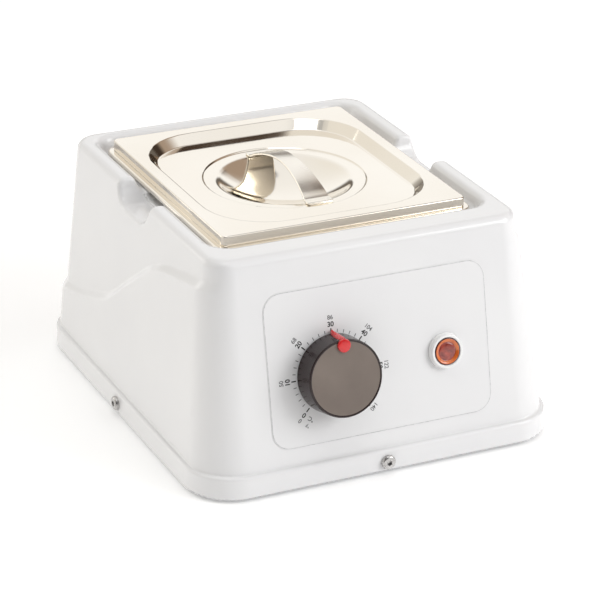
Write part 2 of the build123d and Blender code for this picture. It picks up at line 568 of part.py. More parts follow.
def make_inlet():
    y = inlet_wall_y() + INLET_LIFT
    flange = box(INLET_X - 25, INLET_X + 25, y, y + 2.5, INLET_Z - 10.4, INLET_Z + 10.4)
    flange = fillet(flange.edges().filter_by(Axis.Y), 4.0)
    body = box(INLET_X - 13.5, INLET_X + 13.5, y - 16, y, INLET_Z - 9.8, INLET_Z + 9.8)
    cavity = box(INLET_X - 12, INLET_X + 12, y - 14, y + 3, INLET_Z - 8.2, INLET_Z + 8.2)
    cavity = chamfer(cavity.edges().filter_by(Axis.Y).group_by(Axis.Z)[-1], 4.0)
    socket = flange + body - cavity
    pins = []
    for dx, dz in ((-7, -2), (0, 2), (7, -2)):
        x, z = INLET_X + dx, INLET_Z + dz
        socket = socket - box(x - 1, x + 1, y - 17, y - 13, z - 2, z + 2)
        pins.append(box(x - 1, x + 1, y - 24, y - 2, z - 2, z + 2))
    for dx in (-20, 20):
        socket = socket - rod((INLET_X + dx, y - 5, INLET_Z), (INLET_X + dx, y + 5, INLET_Z), 1.6)
    save("inlet_socket", socket)
    save("inlet_pins", *pins)
    screws = []
    nuts = []
    inner_y = y - INLET_LIFT - WALL - 0.4
    for dx in (-20, 20):
        screws.append(socket_screw((INLET_X + dx, y + 2.5, INLET_Z), (0, -1, 0), 2.9, 1.6, 1.5, 12.0))
        face = Plane(origin=(INLET_X + dx, inner_y, INLET_Z), z_dir=(0, -1, 0))
        nut = face * extrude(RegularPolygon(3.1, 6), 2.4)
        nuts.append(nut - rod((INLET_X + dx, y + 4, INLET_Z), (INLET_X + dx, y - 14, INLET_Z), 1.5))
    save("inlet_screws", *screws)
    save("inlet_nuts", *nuts)


def make_wiring():
    """Single insulated wires, each from one terminal's end to another's."""
    floor = PLATE_Z + PLATE_T
    x, y = BLOCK
    back, front, hole_z = y + 8, y - 8, floor + 5
    pin_y = inlet_wall_y() + INLET_LIFT - 24
    low = 12.0
    for name, pin_x, hole_x in (("live_wire", INLET_X - 7, x - 10), ("neutral_wire", INLET_X + 7, x + 10)):
        route = [(pin_x, pin_y, INLET_Z - 2), (pin_x, pin_y - 5, INLET_Z - 2), (pin_x, pin_y - 7, low),
                 (hole_x, 0, low - 1), (hole_x, back + 12, hole_z), (hole_x, back, hole_z)]
        save(name, tube_path(route, WIRE_R, 2.4))
    route = [(INLET_X, pin_y, INLET_Z + 2), (INLET_X, pin_y - 4, INLET_Z + 2), (INLET_X, pin_y - 6, low + 4),
             (STUD[0], 50, low + 4), (STUD[0], -60, 8), (STUD[0], -76, floor + 0.5 + WIRE_R),
             (STUD[0], -82, floor + 0.5 + WIRE_R)]
    save("earth_wire", tube_path(route, WIRE_R, 1.8) - box(-53, -47, -90, -80, 0, floor + 1.0))

    def blade_end(u, v):
        return DIAL.from_local_coords(Vector(u, v, -WALL - THERMOSTAT_DEPTH - 8))

    def away(u, v, step, drop=0.0):
        return DIAL.from_local_coords(Vector(u, v - drop, -WALL - THERMOSTAT_DEPTH - 8 - step))

    supply = [blade_end(12, -9), away(12, -9, 5), away(16, -9, 6, 14), (x - 10, front - 8, 24),
              (x - 10, front - 8, hole_z), (x - 10, front, hole_z)]
    heater_y = well_face_y(BAND[0]) - HEATER_T
    feed = [blade_end(-12, -9), away(-12, -9, 5), (-10, heater_y - 5, BAND[0] - 2.5),
            (-10, heater_y + 0.8, BAND[0] - 2.5), (-10, heater_y + 0.8, BAND[0])]
    save("thermostat_wires", tube_path(supply, WIRE_R, 1.8), tube_path(feed, LEAD_R, 1.2))
    fuse_y = well_face_y(BULB_Z) - 2.6
    fuse_out = [(48, fuse_y, BULB_Z), (56, fuse_y, BULB_Z), (60, fuse_y - 8, 26), (x, front - 5, 22),
                (x, front - 5, hole_z), (x, front, hole_z)]
    fuse_in = [(34, fuse_y, BULB_Z), (30, fuse_y, BULB_Z), (28, heater_y + 0.8, BAND[0] - 3),
               (28, heater_y + 0.8, BAND[0])]
    save("fuse_leads", tube_path(fuse_out, 0.9, 1.8), tube_path(fuse_in, LEAD_R, 0.9))
    leads = []
    for u, hole_x, reach in ((-4, x, 10), (4, x + 10, 6)):
        tab = LAMP.from_local_coords(Vector(u, 0, -26))
        turn = LAMP.from_local_coords(Vector(u, 0, -30))
        route = [tab, turn, (hole_x + 2, front - 2 - reach / 2, 40), (hole_x + 2, front - 9, 24),
                 (hole_x + 2, front - 9, 20)]
        leads.append(tube_path(route, 0.8, 1.4))
    save("lamp_leads", *leads)


def main():
    save("housing", make_housing())
    save("control_label", make_label())
    save("base_plate", make_base_plate())
    save("base_screws", *make_base_screws())
    save("base_rivet_nuts", *make_base_rivet_nuts())
    make_feet()
    save("pan", make_pan())
    save("lid", make_lid())
    save("lid_handle", make_lid_handle())
    save("knob", make_knob())
    save("knob_pointer", make_pointer())
    save("knob_spring_ring", disc(DIAL, 6.8, 6.0, 9.0) - disc(DIAL, 6.0, 5.0, 10.0))
    save("thermostat_spindle", make_spindle())
    save("thermostat_body", make_thermostat())
    save("thermostat_terminals", *make_thermostat_terminals())
    save("thermostat_screws", *make_thermostat_screws())
    make_lamp()
    save("heating_well", make_well())
    make_heaters()
    save("well_brackets", *make_well_brackets())
    save("well_screws", *make_well_screws())
    make_sensing()
    make_terminals()
    make_inlet()
    make_wiring()


main()
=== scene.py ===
import json
import math

import bmesh
import bpy
import numpy as np
from mathutils import Matrix, Vector


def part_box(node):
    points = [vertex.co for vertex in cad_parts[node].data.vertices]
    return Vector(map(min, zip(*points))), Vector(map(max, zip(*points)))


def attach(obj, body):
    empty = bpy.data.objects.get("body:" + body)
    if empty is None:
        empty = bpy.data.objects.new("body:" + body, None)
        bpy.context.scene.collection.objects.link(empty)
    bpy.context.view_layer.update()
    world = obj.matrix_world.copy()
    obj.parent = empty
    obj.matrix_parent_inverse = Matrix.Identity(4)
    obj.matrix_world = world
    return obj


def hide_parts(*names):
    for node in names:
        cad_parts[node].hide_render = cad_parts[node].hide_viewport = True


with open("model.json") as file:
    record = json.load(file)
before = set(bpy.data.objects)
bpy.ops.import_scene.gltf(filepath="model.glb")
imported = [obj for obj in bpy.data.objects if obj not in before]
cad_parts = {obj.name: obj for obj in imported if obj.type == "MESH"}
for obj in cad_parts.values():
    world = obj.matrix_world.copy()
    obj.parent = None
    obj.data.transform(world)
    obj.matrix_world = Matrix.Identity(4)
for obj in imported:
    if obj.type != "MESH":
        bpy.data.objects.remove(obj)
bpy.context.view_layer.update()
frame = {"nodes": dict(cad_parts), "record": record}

# Lengths below are millimetres about the middle of the base; the frame says where that middle lies.
MM = 0.001
skirt_low, skirt_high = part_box("housing")
MIDDLE_Y = (skirt_low.y + skirt_high.y) / 2
pan_low, pan_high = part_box("pan")
PAN_Y = ((pan_low.y + pan_high.y) / 2 - MIDDLE_Y) / MM
FOOT_GAP = skirt_low.z / MM
BODY_TOP = skirt_high.z / MM
SKIRT_TOP = 15.5
WALL = 4.0     # over the real 3.0, because the grid leaves holes in a thinner wall
GRID_WIDE, GRID_FINE = ((1.95, 1.12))

# half width, front y, back y, front corner radius, back corner radius
SKIRT = (114.0, -128.0, 128.0, 28.6, 28.6)
LOWER = ((111.4, -125.2, 125.0, 25.9, 24.0), (100.1, -99.0, 120.8, 17.1, 18.0))
UPPER = ((108.9, -125.2, 122.5, 23.4, 21.5), (97.0, -99.0, 117.8, 14.0, 15.0))
SHOULDER = [(-140, 122.5), (-100, 120.5), (-66, 115.5), (-24, 103.5), (8, 82.5), (38, 61.5), (62, 53.0),
            (112, 42.0), (140, 41.0)]
SHOULDER_HALF = 3.4
TOP_ROUND, SKIRT_ROUND, SKIRT_CREASE = 4.6, 1.8, 0.9

RIM = (81.0, 88.0, 9.0)
RIM_TOP, RIM_FOLD, SHEET = 129.6, 2.6, 0.8
PAN_TOP, PAN_FOOT, PAN_FLOOR = (73.0, 80.0, 22.0), (67.0, 74.0, 18.0), 29.6
LAND_TOP, DISH_FLOOR = 128.8, 126.3
LAND, HOLE = (79.0, 86.0, 24.0), (75.6, 82.6, 23.5)
# the dish round the pan at its floor, and what its sloped walls add by the top
DISH_HALF_X, DISH_HALF_Y, DISH_R, DISH_ROUND = 83.5, 90.5, 12.0, 3.0
DISH_OUT, DISH_OUT_FRONT, DISH_R_MORE = 3.5, 5.5, 2.0
NOTCH_HALF, NOTCH_FLOOR, NOTCH_R, NOTCH_INNER_X = 22.5, 120.8, 12.0, 82.5
GAP_NARROWER, GAP_HIGHER, GAP_R, GAP_X = 4.0, 2.5, 6.0, (75.0, 84.0)
LIP_ROUND, LAND_CREASE, HOLE_ROUND = 2.6, 0.5, 0.7
LAMP_HOLE_R, LAMP_HOLE_BACK_Y = 8.4, -90.0
INLET_X, INLET_Z, INLET_HALF_W, INLET_HALF_H, INLET_FRONT_Y = 48.0, 28.0, 13.8, 10.2, 110.0

LID = (77.0, 84.0, 3.5)
LID_TOP, LID_FLOOR = 135.6, 129.7
RECESS = (68.5, 74.5, 38.0)
RING_OUT, RING_IN, RING_Z, BOWL_DEPTH = 48.4, 41.0, 128.7, 13.0

HANDLE_X, HANDLE_TOP, HANDLE_T = 2.5, 140.6, 1.5
HANDLE_REACH, HANDLE_FOOT, HANDLE_BLEND = 45.5, 6.0, 4.0
HANDLE_HALF_MID, HANDLE_HALF_MORE, HANDLE_BEVEL = 5.6, 3.1, 0.45
HANDLE_TIP, HANDLE_TIP_IN = 3.0, 1.4            # how far the rounded ends reach, and how much they narrow

SLOPE = math.atan((LOWER[1][1] - LOWER[0][1]) / (BODY_TOP - SKIRT_TOP))
NORMAL = np.array([0.0, -math.cos(SLOPE), math.sin(SLOPE)])
UPWARD = np.array([0.0, math.sin(SLOPE), math.cos(SLOPE)])
FRONT_FOOT = np.array([0.0, LOWER[0][1], SKIRT_TOP])
DIAL, LAMP, LABEL = (-29.0, 49.0), (41.2, 50.0), (0.0, 55.0)
KNOB_R_BASE, KNOB_R_FACE, KNOB_LOW, KNOB_TOP = 23.1, 22.4, 0.8, 16.0
POINTER_V, POINTER_R = 19.1, 3.9
LABEL_HALF_W, LABEL_HALF_H, LABEL_R, LABEL_LINE = 69.3, 44.8, 10.8, 0.35

# the printed scale: radii of strokes and figures, and heights of figures
STROKE_LONG, STROKE_SHORT = (23.7, 26.5), (23.9, 25.8)
STROKE_WIDE, STROKE_THIN = 0.7, 0.42
INNER_R, OUTER_R, INNER_H, OUTER_H, UNIT_H = 27.4, 31.5, 3.0, 2.6, 2.4
LABEL_T = 0.3
PRINT_LOW, PRINT_HIGH = LABEL_T, 0.34
PRINT_DROP = 0.5                                # the scale sits a little under the knob's axis
FONT_SIZE = 1.35                                # type size for letters of height 1

FLOOR_GLOW = 0.23                               # keeps the pale floor as white as its surroundings


def cosd(angle):
    return math.cos(math.radians(angle))


def sind(angle):
    return math.sin(math.radians(angle))


# ---------------------------------------------------------------- materials


def principled(name, colour, roughness, metallic=0.0):
    material = bpy.data.materials.new(name)
    material.use_nodes = True
    shader = material.node_tree.nodes["Principled BSDF"]
    shader.inputs["Base Color"].default_value = (*colour, 1.0)
    shader.inputs["Roughness"].default_value = roughness
    shader.inputs["Metallic"].default_value = metallic
    return material, material.node_tree, shader


def noise(tree, scale, detail=3.0, stretch=None):
    """Noise over the piece's own space; scale is in cells per metre."""
    place = tree.nodes.new("ShaderNodeTexCoord")
    texture = tree.nodes.new("ShaderNodeTexNoise")
    texture.inputs["Scale"].default_value = scale
    texture.inputs["Detail"].default_value = detail
    source = place.outputs["Object"]
    if stretch:
        mapping = tree.nodes.new("ShaderNodeMapping")
        mapping.inputs["Scale"].default_value = stretch
        tree.links.new(source, mapping.inputs["Vector"])
        source = mapping.outputs["Vector"]
    tree.links.new(source, texture.inputs["Vector"])
    return texture.outputs["Fac"]


def vary_colour(tree, shader, fac, dark, light, low=0.3, high=0.7):
    ramp = tree.nodes.new("ShaderNodeValToRGB")
    ramp.color_ramp.elements[0].position = low
    ramp.color_ramp.elements[1].position = high
    ramp.color_ramp.elements[0].color = (*dark, 1.0)
    ramp.color_ramp.elements[1].color = (*light, 1.0)
    tree.links.new(fac, ramp.inputs["Fac"])
    tree.links.new(ramp.outputs["Color"], shader.inputs["Base Color"])


def vary_roughness(tree, shader, fac, low, high):
    spread = tree.nodes.new("ShaderNodeMapRange")
    spread.inputs["From Min"].default_value = 0.3
    spread.inputs["From Max"].default_value = 0.7
    spread.inputs["To Min"].default_value = low
    spread.inputs["To Max"].default_value = high
    tree.links.new(fac, spread.inputs["Value"])
    tree.links.new(spread.outputs["Result"], shader.inputs["Roughness"])


def bump(tree, shader, fac, strength, depth):
    node = tree.nodes.new("ShaderNodeBump")
    node.inputs["Strength"].default_value = strength
    node.inputs["Distance"].default_value = depth
    tree.links.new(fac, node.inputs["Height"])
    tree.links.new(node.outputs["Normal"], shader.inputs["Normal"])


def surface(name, dark, light, rough, metallic=0.0, patch=25.0, grain=900.0, depth=0.00002, stretch=None,
            coat=0.0, transmission=0.0, emission=None):
    """A material with uneven colour and roughness over patches, and a fine grain in its relief."""
    middle = [(a + b) / 2 for a, b in zip(dark, light)]
    material, tree, shader = principled(name, middle, sum(rough) / 2, metallic)
    vary_colour(tree, shader, noise(tree, patch), dark, light)
    vary_roughness(tree, shader, noise(tree, patch * 3.1, 4.0, stretch), *rough)
    bump(tree, shader, noise(tree, grain, 2.0, stretch), 0.35, depth)
    if coat:
        shader.inputs["Coat Weight"].default_value = coat
        shader.inputs["Coat Roughness"].default_value = 0.06
    if transmission:
        shader.inputs["Transmission Weight"].default_value = transmission
    if emission:
        shader.inputs["Emission Color"].default_value = (*emission, 1.0)
        shader.inputs["Emission Strength"].default_value = FLOOR_GLOW
    return material


STEEL_DARK, STEEL_LIGHT = (0.84, 0.785, 0.70), (0.90, 0.86, 0.79)
MATERIALS = {
    "white_abs": surface(
        "white_abs", (0.80, 0.80, 0.81), (0.825, 0.825, 0.83), (0.17, 0.22), patch=14, grain=700,
        depth=0.000005, coat=0.3),
    "label_film": surface(
        "label_film", (0.80, 0.80, 0.81), (0.82, 0.82, 0.825), (0.3, 0.33), patch=20, grain=1500,
        depth=0.000004),
    "knob_black": surface(
        "knob_black", (0.014, 0.005, 0.005), (0.02, 0.008, 0.008), (0.18, 0.24), patch=60,
        grain=2500, depth=0.000006),
    "pointer_red": surface(
        "pointer_red", (0.55, 0.008, 0.012), (0.68, 0.014, 0.016), (0.12, 0.2), patch=250,
        grain=1800, depth=0.00001, coat=0.5),
    "lens_red": surface(
        "lens_red", (0.17, 0.022, 0.018), (0.42, 0.07, 0.045), (0.1, 0.2), patch=330, grain=1600,
        depth=0.00004, coat=0.6),
    "bezel_white": surface(
        "bezel_white", (0.82, 0.82, 0.82), (0.86, 0.86, 0.855), (0.1, 0.18), patch=90, grain=1500,
        depth=0.000008, coat=0.4),
    "polished_steel": surface(
        "polished_steel", STEEL_DARK, STEEL_LIGHT, (0.05, 0.11), 1.0, patch=9, grain=45,
        depth=0.00006, stretch=(1.0, 0.35, 1.0)),
    "zinc_steel": surface(
        "zinc_steel", (0.42, 0.43, 0.44), (0.56, 0.57, 0.58), (0.3, 0.48), 1.0, patch=120,
        grain=1400, depth=0.00002),
    "stainless_screw": surface(
        "stainless_screw", (0.46, 0.45, 0.44), (0.62, 0.61, 0.6), (0.2, 0.34), 1.0, patch=300,
        grain=2600, depth=0.00001),
    "well_aluminium": surface(
        "well_aluminium", (0.60, 0.60, 0.61), (0.72, 0.72, 0.73), (0.26, 0.4), 1.0, patch=22,
        grain=900, depth=0.00002, stretch=(1.0, 1.0, 0.12)),
    "foot_rubber": surface(
        "foot_rubber", (0.018, 0.018, 0.018), (0.04, 0.04, 0.04), (0.7, 0.85), patch=150,
        grain=2200, depth=0.00004),
    "heater_silicone": surface(
        "heater_silicone", (0.30, 0.06, 0.035), (0.40, 0.09, 0.05), (0.5, 0.65), patch=40,
        grain=1100, depth=0.00006),
    "insulation": surface(
        "insulation", (0.62, 0.58, 0.48), (0.80, 0.77, 0.68), (0.85, 0.95), patch=70, grain=600,
        depth=0.0005),
    "nylon": surface(
        "nylon", (0.72, 0.70, 0.62), (0.80, 0.78, 0.71), (0.35, 0.5), patch=90, grain=1500),
    "black_resin": surface(
        "black_resin", (0.014, 0.014, 0.016), (0.03, 0.03, 0.033), (0.35, 0.5), patch=80,
        grain=1700, depth=0.00003),
    "brass_metal": surface(
        "brass_metal", (0.55, 0.38, 0.14), (0.72, 0.53, 0.24), (0.22, 0.36), 1.0, patch=200,
        grain=2000),
    "copper_tube": surface(
        "copper_tube", (0.56, 0.26, 0.14), (0.72, 0.38, 0.24), (0.22, 0.38), 1.0, patch=120,
        grain=1600),
    "neon_glass": surface(
        "neon_glass", (0.90, 0.50, 0.32), (0.95, 0.62, 0.45), (0.04, 0.1), patch=200, grain=1500,
        transmission=0.7),
    "wire_brown": surface(
        "wire_brown", (0.12, 0.05, 0.025), (0.17, 0.075, 0.04), (0.35, 0.5), patch=150, grain=1800),
    "wire_blue": surface(
        "wire_blue", (0.03, 0.08, 0.32), (0.05, 0.12, 0.42), (0.35, 0.5), patch=150, grain=1800),
    "wire_green": surface(
        "wire_green", (0.08, 0.28, 0.03), (0.72, 0.66, 0.05), (0.35, 0.5), patch=180, grain=1800),
    "wire_white": surface(
        "wire_white", (0.70, 0.68, 0.62), (0.80, 0.78, 0.73), (0.4, 0.55), patch=150, grain=1800),
}


def knob_face_material():
    """Satin insert of the knob, browner and duller than its side."""
    return surface("knob_face", (0.165, 0.132, 0.112), (0.2, 0.163, 0.138), (0.36, 0.46), patch=45,
                   grain=2400, depth=0.00001)


# Flat print colour, also used for the painted shade line along the label's edge.
def ink(name, colour):
    dark, light = [c * 0.8 for c in colour], [min(1.0, c * 1.2) for c in colour]
    return surface(name, dark, light, (0.3, 0.42), patch=400, grain=3000, depth=0.000005)


# ---------------------------------------------------------------- mesh helpers


def to_frame(points):
    """Millimetres about the base's middle to metres in the shared frame."""
    points = np.asarray(points, float) * MM
    points[:, 1] += MIDDLE_Y
    return points


def on_plane(centre, points):
    """Points given as right, up and out from a spot on the sloped front."""
    points = np.asarray(points, float)
    spot = FRONT_FOOT + np.array([centre[0], 0, 0]) + UPWARD * centre[1]
    return spot + points[:, :1] * np.array([1.0, 0, 0]) + points[:, 1:2] * UPWARD + points[:, 2:3] * NORMAL


def piece(name, points, faces, materials, body, stands_for=(), smooth=True, face_slots=None):
    """One mesh from millimetre points, riding on a body."""
    mesh = bpy.data.meshes.new(name)
    mesh.from_pydata(to_frame(points).tolist(), [], [list(f) for f in faces])
    mesh.update()
    for material in materials:
        mesh.materials.append(material)
    mesh.polygons.foreach_set("use_smooth", [smooth] * len(mesh.polygons))
    if face_slots is not None:
        mesh.polygons.foreach_set("material_index", face_slots)
    made = bpy.data.objects.new(name, mesh)
    bpy.context.scene.collection.objects.link(made)
    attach(made, body)
    if stands_for:
        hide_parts(*stands_for)
    return made


def keep_flats(made):
    weighted = made.modifiers.new("flats", "WEIGHTED_NORMAL")
    weighted.mode = "FACE_AREA"
    weighted.weight = 80


def thicken(made, thickness):
    shell = made.modifiers.new("sheet", "SOLIDIFY")
    shell.thickness = thickness * MM
    shell.offset = -1.0


def arc(centre, radius, start, end, steps=6):
    """Points of a round stretch in a profile, angles in degrees."""
    angles = np.radians(np.linspace(start, end, steps + 1))
    return [(centre[0] + radius * math.cos(a), centre[1] + radius * math.sin(a)) for a in angles]


def bridge(rings, count, first=0):
    """Quads between each closed ring of points and the next."""
    faces = []
    for ring in range(rings - 1):
        a = first + ring * count
        b = a + count
        faces += [(a + s, a + (s + 1) % count, b + (s + 1) % count, b + s) for s in range(count)]
    return faces


def lathe(profile, segments=96):
    """Closed solid turned about the local third axis from (radius, height) points, whose ends lie on it."""
    angles = np.linspace(0, 2 * math.pi, segments, endpoint=False)
    inner = profile[1:-1]
    points = [(0.0, 0.0, profile[0][1])]
    for radius, height in inner:
        points += [(radius * math.cos(a), radius * math.sin(a), height) for a in angles]
    points.append((0.0, 0.0, profile[-1][1]))
    faces = [(0, 1 + (s + 1) % segments, 1 + s) for s in range(segments)]
    faces += bridge(len(inner), segments, 1)
    last = 1 + (len(inner) - 1) * segments
    faces += [(last + s, last + (s + 1) % segments, len(points) - 1) for s in range(segments)]
    return np.array(points), faces


def rounded_distance(x, y, half_x, half_y, radius):
    qx, qy = np.abs(x) - half_x + radius, np.abs(y) - half_y + radius
    return np.hypot(np.maximum(qx, 0), np.maximum(qy, 0)) + np.minimum(np.maximum(qx, qy), 0) - radius


def outline_angles(half_x, half_y, radius, per_corner=10, per_side=14):
    """Directions from the middle to points spread along a rounded rectangle, dense at its corners."""
    corner_x, corner_y = half_x - radius, half_y - radius
    points = []
    for quarter, (sx, sy) in enumerate(((1, 1), (-1, 1), (-1, -1), (1, -1))):
        turn = quarter * 90
        points += [(sx * corner_x + radius * cosd(turn + t), sy * corner_y + radius * sind(turn + t))
                   for t in np.linspace(0, 90, per_corner + 1)]
        ahead = ((-1, 1), (-1, -1), (1, -1), (1, 1))[quarter]
        start = points[-1]
        end = ((0, half_y), (-half_x, 0), (0, -half_y), (half_x, 0))[quarter]
        goal = (ahead[0] * corner_x, start[1]) if end[0] == 0 else (start[0], ahead[1] * corner_y)
        points += [(start[0] + (goal[0] - start[0]) * t, start[1] + (goal[1] - start[1]) * t)
                   for t in np.linspace(0, 1, per_side + 1)[1:-1]]
    return np.unwrap(np.array([math.atan2(y, x) for x, y in points]))


def ring_at(angles, shape, z):
    """Where rays from the pan's middle meet a rounded rectangle or, for one number, a circle."""
    if np.isscalar(shape):
        radius = np.full(len(angles), float(shape))
    else:
        low, high = np.zeros(len(angles)), np.full(len(angles), 200.0)
        for _ in range(44):
            middle = (low + high) / 2
            outside = rounded_distance(middle * np.cos(angles), middle * np.sin(angles), *shape) > 0
            high = np.where(outside, middle, high)
            low = np.where(outside, low, middle)
        radius = (low + high) / 2
    return np.column_stack([radius * np.cos(angles), radius * np.sin(angles) + PAN_Y,
                            np.full(len(angles), z)])


def stamped(name, rings, angles, thickness, materials, body, stands_for):
    """A pressed sheet: rings from its outer edge inwards, closed by a middle point."""
    count = len(angles)
    points = np.vstack([ring_at(angles, shape, z) for shape, z in rings] + [[[0.0, PAN_Y, rings[-1][1]]]])
    faces = bridge(len(rings), count)
    last = (len(rings) - 1) * count
    faces += [(last + s, last + (s + 1) % count, len(points) - 1) for s in range(count)]
    made = piece(name, points, faces, materials, body, stands_for)
    thicken(made, thickness)
    keep_flats(made)


def inset(shape, distance):
    return (shape[0] - distance, shape[1] - distance, max(shape[2] - distance, 0.6))


# ---------------------------------------------------------------- housing


def outline_field(x, y, sizes):
    """Distance to a rectangle whose front and back corners have their own radii; sizes may vary by point."""
    half_x, front, back, r_front, r_back = sizes
    middle = (front + back) / 2
    radius = np.where(y < middle, r_front, r_back)
    return rounded_distance(x, y - middle, half_x, (back - front) / 2, radius)


def at_height(pair, z):
    t = (z - SKIRT_TOP) / (BODY_TOP - SKIRT_TOP)
    return [a + (b - a) * t for a, b in zip(*pair)]


def shoulder_height(y):
    """Smooth curve through the shoulder's points."""
    ys, zs = np.array(SHOULDER, float).T
    slopes = np.gradient(zs, ys)
    index = np.clip(np.searchsorted(ys, y) - 1, 0, len(ys) - 2)
    gap = ys[index + 1] - ys[index]
    t = np.clip((y - ys[index]) / gap, 0, 1)
    return ((2 * t**3 - 3 * t**2 + 1) * zs[index] + (t**3 - 2 * t**2 + t) * gap * slopes[index]
            + (3 * t**2 - 2 * t**3) * zs[index + 1] + (t**3 - t**2) * gap * slopes[index + 1])


def round_and(a, b, radius):
    """Inside both, with a rounded outer edge."""
    joined = np.hypot(np.maximum(a + radius, 0), np.maximum(b + radius, 0))
    return np.minimum(np.maximum(a, b), -radius) + joined


def round_or(a, b, radius):
    """Inside either, with a rounded inner corner."""
    return -round_and(-a, -b, radius)


def housing_field(x, y, z):
    """Signed distance, in millimetres, to the one white moulding."""
    step = np.clip((z - shoulder_height(y)) / SHOULDER_HALF * 0.5 + 0.5, 0, 1)
    step = step * step * (3 - 2 * step)
    lower, upper = outline_field(x, y, at_height(LOWER, z)), outline_field(x, y, at_height(UPPER, z))
    body = round_and(lower * (1 - step) + upper * step, z - BODY_TOP, TOP_ROUND)
    skirt = round_and(outline_field(x, y, SKIRT), z - SKIRT_TOP, SKIRT_ROUND)
    outer = round_or(body, skirt, SKIRT_CREASE)

    t = (z - DISH_FLOOR) / (BODY_TOP - DISH_FLOOR)
    corner = DISH_R + DISH_R_MORE * t
    dish_side = outline_field(x, y, (DISH_HALF_X + DISH_OUT * t, PAN_Y - DISH_HALF_Y - DISH_OUT_FRONT * t,
                                     PAN_Y + DISH_HALF_Y + DISH_OUT * t, corner, corner))
    dish = round_and(dish_side, DISH_FLOOR - z, DISH_ROUND)
    across = np.abs(y - PAN_Y)
    notch = round_and(across - NOTCH_HALF, NOTCH_FLOOR - z, NOTCH_R)
    notch = np.maximum(notch, NOTCH_INNER_X - np.abs(x))
    gap = round_and(across - NOTCH_HALF + GAP_NARROWER, NOTCH_FLOOR + GAP_HIGHER - z, GAP_R)
    gap = np.maximum(gap, np.maximum(GAP_X[0] - np.abs(x), np.abs(x) - GAP_X[1]))
    land = np.maximum(rounded_distance(x, y - PAN_Y, *LAND), z - LAND_TOP)
    hole = rounded_distance(x, y - PAN_Y, *HOLE)

    solid = round_and(outer, -dish, LIP_ROUND)
    solid = round_or(solid, land, LAND_CREASE)
    solid = round_and(solid, -notch, LIP_ROUND)
    solid = np.maximum(solid, -gap)
    solid = round_and(solid, -hole, HOLE_ROUND)
    inside = np.maximum(outer + WALL, WALL - np.minimum(dish, notch))
    solid = np.maximum(solid, -inside)

    lamp = FRONT_FOOT + np.array([LAMP[0], 0, 0]) + UPWARD * LAMP[1]
    along = (y - lamp[1]) * UPWARD[1] + (z - lamp[2]) * UPWARD[2]
    lamp_hole = np.maximum(np.hypot(x - lamp[0], along) - LAMP_HOLE_R, y - LAMP_HOLE_BACK_Y)
    inlet = np.maximum(np.abs(x - INLET_X) - INLET_HALF_W, np.abs(z - INLET_Z) - INLET_HALF_H)
    inlet = np.maximum(inlet, INLET_FRONT_Y - y)
    solid = np.maximum(solid, -np.minimum(lamp_hole, inlet))
    return np.maximum(solid, FOOT_GAP - z)


def surface_net(field, axes):
    """Quads around the zero of a field sampled on a grid, one point in each cell that it crosses."""
    values = field(*np.meshgrid(*axes, indexing="ij"))
    inside = values < 0
    corners = [(i, j, k) for i in (0, 1) for j in (0, 1) for k in (0, 1)]
    shape = [n - 1 for n in values.shape]

    def part(array, offset):
        return array[tuple(slice(o, o + n) for o, n in zip(offset, shape))]

    count = sum(part(inside, c).astype(np.int8) for c in corners)
    cells = np.argwhere((count > 0) & (count < 8))
    numbers = np.full(shape, -1, np.int64)
    numbers[tuple(cells.T)] = np.arange(len(cells))
    total = np.zeros((len(cells), 3))
    hits = np.zeros(len(cells))
    for a in corners:
        for axis in range(3):
            if a[axis]:
                continue
            b = tuple(c + (n == axis) for n, c in enumerate(a))
            va = values[tuple((cells + a).T)]
            vb = values[tuple((cells + b).T)]
            crossed = (va < 0) != (vb < 0)
            share = np.where(crossed, va / np.where(crossed, va - vb, 1.0), 0.0)
            place = [axes[n][cells[:, n] + a[n]] for n in range(3)]
            place[axis] = place[axis] + share * (axes[axis][cells[:, axis] + b[axis]] - place[axis])
            total += np.column_stack(place) * crossed[:, None]
            hits += crossed
    points = total / hits[:, None]

    faces = []
    for axis in range(3):
        u, v = (axis + 1) % 3, (axis + 2) % 3
        low = [slice(None)] * 3
        high = [slice(None)] * 3
        low[axis], high[axis] = slice(0, -1), slice(1, None)
        change = inside[tuple(low)] != inside[tuple(high)]
        edges = np.argwhere(change)
        iu, iv = edges[:, u], edges[:, v]
        edges = edges[(iu > 0) & (iv > 0) & (iu < shape[u]) & (iv < shape[v])]
        quad = []
        for du, dv in ((1, 1), (0, 1), (0, 0), (1, 0)):
            cell = edges.copy()
            cell[:, u] -= du
            cell[:, v] -= dv
            quad.append(numbers[tuple(cell.T)])
        quad = np.column_stack(quad)
        leaving = inside[tuple(edges.T)]
        faces.append(np.where(leaving[:, None], quad, quad[:, ::-1]))
    return points, np.vstack(faces)


def gradient(field, points, reach=0.05):
    slopes = []
    for axis in range(3):
        ahead, behind = points.copy(), points.copy()
        ahead[:, axis] += reach
        behind[:, axis] -= reach
        slopes.append((field(*ahead.T) - field(*behind.T)) / (2 * reach))
    return np.column_stack(slopes)


